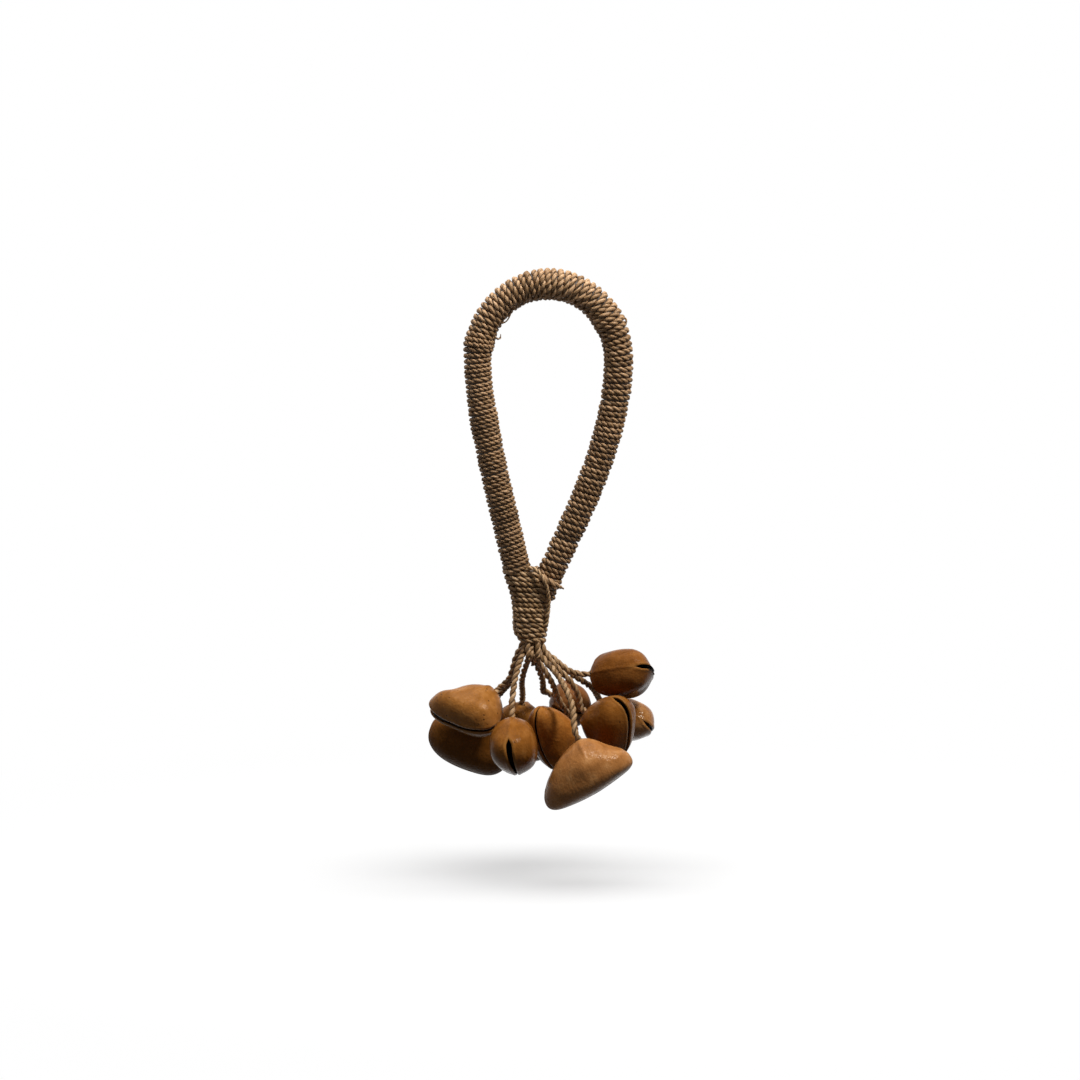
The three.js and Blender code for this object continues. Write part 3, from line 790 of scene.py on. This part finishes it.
nutShapes = {
    "01": {
        "hole": (-30.2, -2.5, -217.7), "stem": (0.6, 0.6, 0.53), "lips": (0.78, -0.55, -0.28),
        "size": (41, 30.5, 25), "shoulder": 0.68, "lean": -7, "slant": 0.1, "beak": 0.3,
        "gape": (3.2, -0.3), "exit": ("outer", 184), "via": ((-18.6, -1, -200), (-21.3, 0.5, -209)),
        "pushes": ((-13, -11, 6, (0, -1.1, 0)), (8, -20, 8, (0, 0.5, 0)), (-18.5, -12, 5, (0.9, 0, -1.5))),
        "browns": ("#6b3f14", "#9a632c", "#b57e46"), "pits": 0.6, "shine": 2.2,
    },
    "02": {
        "hole": (-30.5, 16, -227), "stem": (0.45, 0.05, 0.89), "lips": (0.89, 0, -0.45),
        "size": (47.5, 40, 27), "lean": -3, "exit": ("outer", 144),
        "via": ((-17, 6, -201), (-20.5, 11, -212)), "browns": ("#4a2a0b", "#734518", "#8d5b28"),
        "pits": 0.1,
    },
    "03": {
        "hole": (-19.5, -24, -228), "stem": (-0.05, 0.45, 0.89), "lips": (-0.14, -0.88, 0.45),
        "size": (36, 30.5, 25), "shoulder": 0.66, "beak": 0.15, "gape": (2.1, 0.75),
        "pushes": ((0, -2.5, 6, (0, -1.2, 0)),), "exit": ("outer", 228),
        "via": ((-16, -8.5, -200), (-18.6, -15, -210.5)), "browns": ("#5c340d", "#85511e", "#a56d35"),
        "pits": 0.15,
    },
    "04": {
        "hole": (-14.8, 29.5, -229), "stem": (0.1, -0.35, 0.93), "lips": (0.9, -0.4, -0.25),
        "size": (38, 33, 25), "shoulder": 0.66, "pushes": ((-4.5, -12.5, 8, (0, -1.1, 0)),),
        "exit": ("inner", 128), "via": ((-11.3, 3.8, -200), (-14.3, 13, -211)),
        "browns": ("#4e2e0e", "#75481b", "#92612b"), "pits": 0.15,
    },
    "05": {
        "hole": (9, 3.9, -235), "stem": (0.55, 0.74, 0.39), "lips": (0.3, 0.27, -0.91),
        "size": (38, 25, 23), "gape": (1.8, 0.1), "pushes": ((2, -7, 9, (0, 2.6, 0)),),
        "exit": ("outer", 267), "via": ((-5.6, -4.2, -199), (1.6, 0, -210.5), (6.5, 6.5, -223)),
        "browns": ("#683c12", "#985d25", "#b4783a"),
    },
    "06": {
        "hole": (4.8, 41.5, -227), "stem": (-0.5, 0.84, 0.2), "lips": (0.84, 0.52, -0.08),
        "size": (23, 26, 25), "gape": (1.6, 0), "exit": ("outer", 97),
        "via": ((-6.3, 9, -203), (-3.2, 17, -212), (-2.5, 30, -221)),
        "leadIn": ((7, 2.2), (2.8, 4.4), (0.15, 2.4)), "browns": ("#4f2d13", "#784a26", "#92653c"),
        "pits": 0.3,
    },
    "07": {
        "hole": (17, -36, -238), "stem": (-0.42, 0.1, 0.9), "lips": (0.89, 0, 0.44),
        "size": (51, 30, 27), "shoulder": 0.73, "lean": -6, "slant": 0.3, "beak": 0,
        "exit": ("outer", 305), "via": ((6, -16, -206), (13, -26, -219.6)),
        "pushes": ((13, -7, 8, (-0.8, 0, -2.4)), (-3, -12, 6.5, (0, 1.7, 0))),
        "browns": ("#6f4218", "#a56d3a", "#c28e5a"), "shine": 3.2,
    },
    "08": {
        "hole": (22.6, 0, -228.3), "stem": (-0.72, 0.62, 0.3), "lips": (-0.04, 0.39, -0.92),
        "size": (36, 31, 27), "gape": (2.3, -0.5), "pushes": ((-10.5, -9, 7, (0.6, -1.5, 0)),),
        "exit": ("outer", 343), "via": ((5, -2.5, -203), (13, -1, -211.5), (17, 2.5, -220)),
        "browns": ("#54300c", "#7d4b1b", "#96622c"), "pits": 0.15,
    },
    "09": {
        "hole": (24.4, 4, -207.3), "stem": (-1, 0, -0.02), "lips": (0, -0.93, 0.36),
        "size": (34, 35, 27), "shoulder": 0.68, "beak": 0.8, "slit": 0.6, "gape": (1.8, 0.35),
        "pushes": ((0, -29, 8, (0, -2.4, 0)),), "exit": ("outer", 21),
        "via": ((3, 3, -198.5), (12, 3.5, -205.5)), "browns": ("#553010", "#7d4b1e", "#95602e"),
    },
    "10": {
        "hole": (34.5, 27, -229), "stem": (-0.84, 0.05, 0.54), "lips": (0.14, -0.93, 0.3),
        "size": (31, 28.5, 21.5), "shoulder": 0.66, "beak": 0.7, "slit": 0.6, "exit": ("outer", 59),
        "via": ((2.5, 7, -200), (13.7, 8.5, -208.4), (24.5, 14, -216.4)),
        "browns": ("#683d17", "#9c6530", "#c28f5a"), "pits": 0.25, "shine": 4,
    },
}
nuts = {number: plainNut | shape for number, shape in nutShapes.items()}

# Strings: each leaves the gathered bundle in the neck, runs to its nut and ends in a coiled stop knot inside
strings = {
    "diameter": 3.7,
    "lay": 8,
    "exitZ": -192,
    "innerRing": 1.85,
    "outerRing": 6.2,
    "spread": 1.5,  # how far the outer ring widens in its first run
    "firstRun": 2.8,
    "gatherHeight": 6.5,  # how far it runs up inside the binding
    "gatherIn": 0.62,  # share of the ring's radius that is left up there
    "leadIn": ((0, 5.6), (0, 1.8)),  # last points before the hole: towards the string's run, and outward
    "knotDepth": 3.4,
    "knotRadius": 1.75,
    "knotTurns": 1.4,
    "knotPitch": 0.5,  # per radian
    "knotGrowth": 4,  # radians until the coil is at its full radius
    "knotGuide": (0.3, 0.1, 0.9),
    "knotSteps": 60,
    "blendRise": (1.5, -4),  # from the handle's motion to the string's, above and below the exit
}


def stringRoute(nut):
    ring, azimuth = nut["exit"]
    radius, spread = (strings["innerRing"], 0)
    if ring == "outer":
        radius, spread = (strings["outerRing"], strings["spread"])
    up = np.array((0, 0, 1.0))
    out = np.array((math.cos(math.radians(azimuth)), math.sin(math.radians(azimuth)), 0))
    exitPoint = np.array((handle["neckX"], 0, strings["exitZ"])) + radius * out
    hole = np.array(nut["hole"], float)
    stem = unitLength(np.array(nut["stem"], float))
    toward = np.array(nut["via"][-1], float) - hole
    aside = unitLength(toward - np.dot(toward, stem) * stem)
    leadIn = nut.get("leadIn", strings["leadIn"])
    route = throughPoints([
        exitPoint - radius * (1 - strings["gatherIn"]) * out + strings["gatherHeight"] * up,
        exitPoint,
        exitPoint + spread * out - strings["firstRun"] * up,
        *nut["via"],
        *(hole + sideways * aside + outward * stem for sideways, outward in leadIn),
        hole - stem,
        hole - strings["knotDepth"] * stem,
    ])
    side = unitLength(np.cross(stem, strings["knotGuide"]))
    across = np.cross(stem, side)
    turn = np.linspace(0, 2 * math.pi * strings["knotTurns"], strings["knotSteps"])[1:, None]
    reach = strings["knotRadius"] * ease(turn / strings["knotGrowth"])
    coil = hole - (strings["knotDepth"] + strings["knotPitch"] * turn) * stem
    coil = coil + reach * (np.cos(turn) * side + np.sin(turn) * across)
    return exitPoint, evenSteps(np.concatenate([route, coil]), cord["step"])


def makeString(number, nut, seed):
    exitPoint, line = stringRoute(nut)
    wound = twistCord(line, strings["diameter"], strings["lay"], seed)
    piece = cordPiece(f"string_cord_{number}", [wound], stringSedge)
    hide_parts(f"string_{number}", "string_bundle")
    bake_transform(piece)


for seed, (number, nut) in enumerate(nuts.items()):
    makeString(number, nut, 100 + 31 * seed)

# Cut ends of the strings that show below the binding, in front of the bundle
bundleEnds = {
    "diameter": 3.4,
    "taper": (0.35, 0.8),
    "points": (
        ((-10.6, -5.2, -184), (-10.8, -6.6, -189), (-11, -7.8, -194), (-10.8, -8.2, -198)),
        ((-6.2, -5.4, -184), (-5.8, -6.8, -189), (-5.5, -8, -194), (-5.6, -8.3, -197.5)),
        ((-8.4, -2.4, -184), (-8.3, -3, -190), (-8.2, -3.4, -196), (-8.4, -3.2, -201.5)),
    ),
}


def makeBundleEnds():
    cords = []
    for seed, points in enumerate(bundleEnds["points"]):
        line = evenSteps(throughPoints(points), cord["step"])
        size = taper(len(line), *bundleEnds["taper"])
        cords.append(twistCord(line, bundleEnds["diameter"], strings["lay"], 91 + seed, size))
    return cordPiece("bundle_ends", cords, stringSedge)


bundlePiece = makeBundleEnds()
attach(bundlePiece, "handle")
print("strings laid")

# Shells: two domed cheeks that meet in a seam, with the mouth open along the lower part of it
shell = {
    "around": 128,
    "rows": 30,
    "rowCrowding": 1.4,  # above 1, the rows draw together at the seam
    "holeCrowding": (4, 4),  # how much closer the steps are at the hole, and how far round it
    "wall": 1.8,
    "beakThinning": (0.85, 5),  # share of the wall that a full beak loses at its rim, and how far in
    "faceCrest": 1.55,  # roundness of the face above its widest line: 2 is an ellipse and 1 a triangle
    "faceBase": 2.7,
    "cheekTaper": 0.14,
    "cheekPower": 0.74,
    "slitMargin": 0.02,
    "slitOpening": 0.2,
    "slitReach": 4.5,  # how far from the mouth its opening pushes the cheeks apart
    "mouthEdge": 0.3,  # half opening from which the seam counts as mouth
    "lipBead": (0.4, 0.9, 1.0),  # height, distance from the rim and width
    "lipRoll": 0.7,  # how far the rim rounds over, in half walls
    "holeRoll": 0.1,
    "rollTurns": (36, 72, 108, 144),
    # painted shade across the rim's roll, from the outer skin to the inner
    "rollShade": (0.0, 0.2, 0.6, 0.95),
    # paler lips, partly wear and partly painted highlight: strength and width
    "lipWearAndSheen": (0.25, 1.3),  # strength and width
    "seamRidge": (0.25, 0.9),  # height and width
    "seamWave": (0.35, 7, 8),  # height, reach, and depth below the hole where it is in full
    "lumps": ((0.9, 22), (0.25, 9)),  # height and size
    "rib": (0.4, 1.0, 11),  # height, width and length of the rib that runs from the hole over each cheek
    "ribStart": 2,
    "ribFade": 1.5,
    "holeRadius": 2.15,
    "holeDepth": 4,
}


def bell(distance, width):
    return np.exp(-((distance / width) ** 2))


def faceOutline(angle):
    # across and up in half lengths and heights, on the edge of the face
    power = 2 / np.where(np.sin(angle) > 0, shell["faceCrest"], shell["faceBase"])
    across, up = (np.sign(share) * np.abs(share) ** power for share in (np.cos(angle), np.sin(angle)))
    return across, up


def faceAngles(nut):
    # angles that put even steps on the edge of the face, and closer ones at the hole
    length, height = nut["size"][:2]
    fineSteps = 4000
    dense = np.linspace(0, 2 * math.pi, fineSteps) + math.pi / 2
    across, up = faceOutline(dense)
    x = across * length / 2
    z = np.where(up > 0, nut["shoulder"], 1 - nut["shoulder"]) * height * up
    steps = np.hypot(np.diff(x), np.diff(z))
    closer, reach = shell["holeCrowding"]
    close = 1 + closer * bell(np.hypot(x, z - nut["shoulder"] * height)[1:], reach)
    passed = np.concatenate([[0], np.cumsum(steps * close)])
    return np.interp(np.arange(shell["around"]) / shell["around"] * passed[-1], passed, dense)


def cheekGrid(nut, seed):
    # points of both cheeks in the nut's own frame: [cheek, row from pole to seam, place round the face]
    length, height, thickness = nut["size"]
    crest = nut["shoulder"] * height
    angle = faceAngles(nut)
    rows = 1 - (1 - np.linspace(0, 1, shell["rows"])) ** shell["rowCrowding"]
    latitude = (math.pi / 2) * (1 - rows)[:, None]
    spread = np.maximum(np.cos(latitude), 0) ** shell["cheekPower"]
    across, up = (spread * share for share in faceOutline(angle))
    top = shell["wall"] / 2
    z = top - crest + np.where(up > 0, crest, (height - crest) * (1 - nut["slant"] * across)) * up
    x = (length / 2) * across - nut["lean"] * (z - top) / height
    dome = np.sin(latitude) ** (1 + nut["beak"] * np.maximum(0, -up))
    y = (thickness / 2) * dome * (1 + shell["cheekTaper"] * up)
    picks = np.random.default_rng(seed).uniform(0, 2 * math.pi, 4)
    wave = sum(np.cos(count * angle + picks[count - 2]) / count for count in (2, 3, 4, 5))
    gape, wider = nut["gape"]
    below = -z[-1] / height - nut["slit"] - shell["slitMargin"]
    opened = gape / 2 * ease(below / shell["slitOpening"]) * (1 + wider * across[-1])
    isMouth = ease(opened / shell["mouthEdge"])
    depth = shell["holeDepth"]
    atHole = ease(1 + (z + depth) / depth) * np.maximum(0, shell["holeRadius"] ** 2 - x ** 2)
    beadHeight, beadPlace, beadWidth = shell["lipBead"]
    ridgeHeight, ridgeWidth = shell["seamRidge"]
    waveHeight, waveReach, waveDepth = shell["seamWave"]
    cheeks = []
    for side in (1, -1):
        skin = np.stack([x, side * y, z], axis=-1)
        gap = np.linalg.norm(skin - skin[-1], axis=-1)
        outward = unitLength(skin - np.array((0, 0, top - crest)))
        bead = beadHeight * bell(gap - beadPlace, beadWidth) * isMouth
        ridge = ridgeHeight * bell(gap, ridgeWidth) * (1 - isMouth)
        skin = skin + outward * (bead + ridge)[..., None]
        skin[..., 1] = side * np.sqrt(skin[..., 1] ** 2 + atHole)
        skin[..., 1] += side * opened * bell(gap, shell["slitReach"])
        skin[..., 1] += waveHeight * wave * bell(gap, waveReach) * ease(-z / waveDepth)
        cheeks.append(skin)
    return np.stack(cheeks), (opened > 0) | (atHole[-1] > 0)


def packFaces(faces):
    used = sorted({corner for face in faces for corner in face})
    place = {corner: at for at, corner in enumerate(used)}
    return used, [[place[corner] for corner in face] for face in faces]


def pointNormals(points, faces):
    normals = np.zeros_like(points)
    for face in faces:
        a, b, c = points[face[0]], points[face[1]], points[face[2]]
        facing = np.cross(b - a, c - a)
        if len(face) == 4:
            facing = facing + np.cross(c - a, points[face[3]] - a)
        for corner in face:
            normals[corner] += facing
    return unitLength(normals)


def openEdges(faces):
    edges = {}
    for face in faces:
        for a, b in zip(face, face[1:] + face[:1]):
            edges[(a, b)] = True
    return [edge for edge in edges if (edge[1], edge[0]) not in edges]


def skinFaces(grid, isOpen):
    # one skin over both cheeks, joined along the closed part of the seam
    sides, rows, around = grid.shape[:3]
    index = np.arange(sides * rows * around).reshape(sides, rows, around)
    index[1, -1, ~isOpen] = index[0, -1, ~isOpen]
    index[:, 0] = index[:, 0, :1]
    faces = []
    for side in range(sides):
        for row in range(rows - 1):
            for place in range(around):
                after = (place + 1) % around
                quad = [index[side, row, place], index[side, row, after]]
                quad += [index[side, row + 1, after], index[side, row + 1, place]]
                quad = list(dict.fromkeys(int(corner) for corner in quad))
                faces.append(quad if side == 0 else quad[::-1])
    return packFaces(faces)


def shapeSkin(nut, seed):
    # the outer skin with its rib, pushes and lumps, and for each point its neighbour towards the pole
    grid, isOpen = cheekGrid(nut, seed)
    used, faces = skinFaces(grid, isOpen)
    points = grid.reshape(-1, 3)[used]
    before = np.concatenate([grid[:, :1], grid[:, :-1]], axis=1).reshape(-1, 3)[used]
    normals = pointNormals(points, faces)
    rise, width, length = shell["rib"]
    x, z = points[:, 0], points[:, 2]
    alongRib = ease(-z / shell["ribStart"]) * ease(shell["ribFade"] * (1 + z / length))
    points = points + normals * (rise * bell(x, width) * alongRib)[:, None]
    for pushX, pushZ, size, push in nut["pushes"]:
        share = bell(np.hypot(points[:, 0] - pushX, points[:, 2] - pushZ), size)
        bulge = np.stack([0 * share + 1, points[:, 1] / (nut["size"][2] / 2), 0 * share + 1], axis=1)
        moved = share[:, None] * bulge * np.array(push)
        points = points + moved
        before = before + moved
    for rise, size in shell["lumps"]:
        lumps = np.array([noise.noise(Vector(point) / size + Vector((seed, size, 0))) for point in points])
        raised = normals * (rise * lumps)[:, None]
        points = points + raised
        before = before + raised
    return points, before, faces


def closeShell(nut, points, before, faces):
    # the wall: an inner skin, and a rounded rim between both skins along the mouth and the hole
    normals = pointNormals(points, faces)
    count = len(points)
    rimEdges = openEdges(faces)
    rimPoints = sorted({corner for edge in rimEdges for corner in edge})
    nearest = np.min([np.linalg.norm(points - points[corner], axis=1) for corner in rimPoints], axis=0)
    loss, reach = shell["beakThinning"]
    wall = shell["wall"] * (1 - loss * nut["beak"] * bell(nearest, reach))
    inner = points - normals * wall[:, None]
    rollTurns = np.radians(shell["rollTurns"])
    rolled = []
    rollStart = {}
    for corner in rimPoints:
        rollStart[corner] = 2 * count + len(rolled)
        onward = unitLength(points[corner] - before[corner])
        isHole = points[corner][2] > -shell["holeDepth"]
        bulge = shell["holeRoll"] if isHole else shell["lipRoll"]
        for turn in rollTurns:
            out = normals[corner] * math.cos(turn) + bulge * onward * math.sin(turn)
            rolled.append(inner[corner] + wall[corner] / 2 * (normals[corner] + out))
    allFaces = faces + [[corner + count for corner in face[::-1]] for face in faces]
    for edge in rimEdges:
        runA, runB = (
            [corner, *(rollStart[corner] + step for step in range(len(rollTurns))), corner + count]
            for corner in edge
        )
        for step in range(len(runA) - 1):
            allFaces.append([runB[step], runA[step], runA[step + 1], runB[step + 1]])
    # painted shade: hollow darkens the rim's roll towards the inside; lip pales the skin near the rims,
    # partly as wear and partly as painted highlight
    shade = np.tile(shell["rollShade"], len(rimPoints))
    strength, width = shell["lipWearAndSheen"]
    attributes = {
        "lip": np.concatenate([strength * bell(nearest, width), np.zeros(count), strength * (1 - shade)]),
        "hollow": np.concatenate([np.zeros(count), np.ones(count), shade]),
    }
    return np.concatenate([points, inner, np.array(rolled)]), allFaces, attributes


def makeShell(number, nut, seed):
    points, before, faces = shapeSkin(nut, seed)
    allPoints, allFaces, attributes = closeShell(nut, points, before, faces)
    outside = polishedShell(f"polished_shell_{number}", *nut["browns"], nut["pits"], nut["shine"])
    piece = makePiece(f"nut_shell_{number}", allPoints, allFaces, [outside, insideShell], attributes)
    kinds = np.zeros(len(allFaces), np.int32)
    kinds[len(faces):2 * len(faces)] = 1
    piece.data.polygons.foreach_set("material_index", kinds)
    stem = unitLength(np.array(nut["stem"], float))
    lips = np.array(nut["lips"], float)
    lips = unitLength(lips - stem * lips.dot(stem))
    cheek = np.cross(stem, lips)
    place = Matrix([[*row, 0] for row in np.stack([lips, cheek, stem], axis=1).tolist()] + [[0, 0, 0, 1]])
    place.translation = Vector(nut["hole"]) * unit
    piece.matrix_world = place
    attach(piece, f"nut_{number}")
    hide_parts(f"shell_{number}")


for seed, (number, nut) in enumerate(nuts.items()):
    makeShell(number, nut, 7 + 13 * seed)
print("shells made")

# Cane under the winding
caneMaterial = driedCane("dried_cane")
frame["nodes"]["handle_core"].data.materials.clear()
frame["nodes"]["handle_core"].data.materials.append(caneMaterial)

# Stage: a white floor that keeps the soft shadow, a white surround and soft studio lamps
stage = {
    "floorZ": -318,
    "floorSize": 8000,
    "bounce": 0.14,  # how pale the floor is to the light that falls on the object from below
    "floorGrey": 0.8,
    "glow": 0.5,
    "fade": (240, 460),  # distance from the middle where the floor turns to plain white
    "world": 0.05,
    "lamps": (
        # what it lights, place, aim, width, depth, watts
        ("shaker", (560, -400, 850), (0, 0, -200), 190, 190, 13.5),
        ("shaker", (-60, 0, 600), (0, 0, -200), 700, 900, 7),
        ("shaker", (-800, -900, 100), (0, 0, -180), 900, 900, 0.15),
        ("floor", (120, 0, 1000), (0, 0, -315), 1100, 2200, 17),
    ),
}


def seenDirectly(tree):
    # 1 for what the camera, a reflection or a clear surface sees, and 0 for the light that falls on things
    path = addNode(tree, "LightPath")
    seen = path.outputs["Is Camera Ray"]
    for label in ("Is Glossy Ray", "Is Transmission Ray"):
        seen = addNode(tree, "Math", links={0: seen, 1: path.outputs[label]}, operation="MAXIMUM").outputs[0]
    return seen


# White floor: matt paper near the object, so that it holds the soft shadow, and plain white further off
def whiteFloor(name):
    material, tree, shader = newMaterial(name)
    tree.nodes.remove(shader)
    output = tree.nodes["Material Output"]
    place = addNode(tree, "TexCoord").outputs["Object"]
    away = addNode(tree, "VectorMath", links={0: place}, operation="LENGTH").outputs["Value"]
    fade = mapRange(tree, away, [end * unit for end in stage["fade"]], interpolation_type="SMOOTHSTEP")
    matt, dim = (
        addNode(tree, "BsdfDiffuse", {"Color": (grey, grey, grey, 1)}).outputs[0]
        for grey in (stage["floorGrey"], stage["bounce"])
    )
    glow, white = (
        addNode(tree, "Emission", {"Color": (1, 1, 1, 1), "Strength": strength}).outputs[0]
        for strength in (stage["glow"], 1)
    )
    near = addNode(tree, "AddShader", links={0: matt, 1: glow}).outputs[0]
    lit = addNode(tree, "MixShader", links={0: fade, 1: near, 2: white}).outputs[0]
    mixed = addNode(tree, "MixShader", links={0: seenDirectly(tree), 1: dim, 2: lit}).outputs[0]
    tree.links.new(mixed, output.inputs["Surface"])
    return material


def makeStage():
    lit = {name: bpy.data.collections.new(f"lit_{name}") for name in ("shaker", "floor")}
    for piece in bpy.context.scene.objects:
        if piece.type == "MESH":
            lit["shaker"].objects.link(piece)
    half = stage["floorSize"] / 2
    corners = [(-half, -half, 0), (half, -half, 0), (half, half, 0), (-half, half, 0)]
    floor = makePiece("floor", corners, [[0, 1, 2, 3]], [whiteFloor("white_floor")])
    floor.location.z = stage["floorZ"] * unit
    lit["floor"].objects.link(floor)
    for number, (receiver, place, aim, width, depth, watts) in enumerate(stage["lamps"]):
        data = bpy.data.lights.new(f"softbox_{number}", "AREA")
        data.shape = "RECTANGLE"
        data.size = width * unit
        data.size_y = depth * unit
        data.energy = watts
        lamp = bpy.data.objects.new(f"softbox_{number}", data)
        lamp.location = Vector(place) * unit
        lamp.rotation_mode = "QUATERNION"
        lamp.rotation_quaternion = (Vector(aim) - Vector(place)).to_track_quat("-Z", "Y")
        lamp.light_linking.receiver_collection = lit[receiver]
        bpy.context.scene.collection.objects.link(lamp)
    world = bpy.data.worlds.new("surround")
    world.use_nodes = True
    tree = world.node_tree
    strength = addNode(tree, "Mix", {2: stage["world"], 3: 1.0}, {0: seenDirectly(tree)})
    tree.links.new(strength.outputs[0], tree.nodes["Background"].inputs["Strength"])
    tree.nodes["Background"].inputs["Color"].default_value = (1, 1, 1, 1)
    bpy.context.scene.world = world
    bpy.context.scene.view_settings.view_transform = "Standard"


makeStage()
print("stage set")
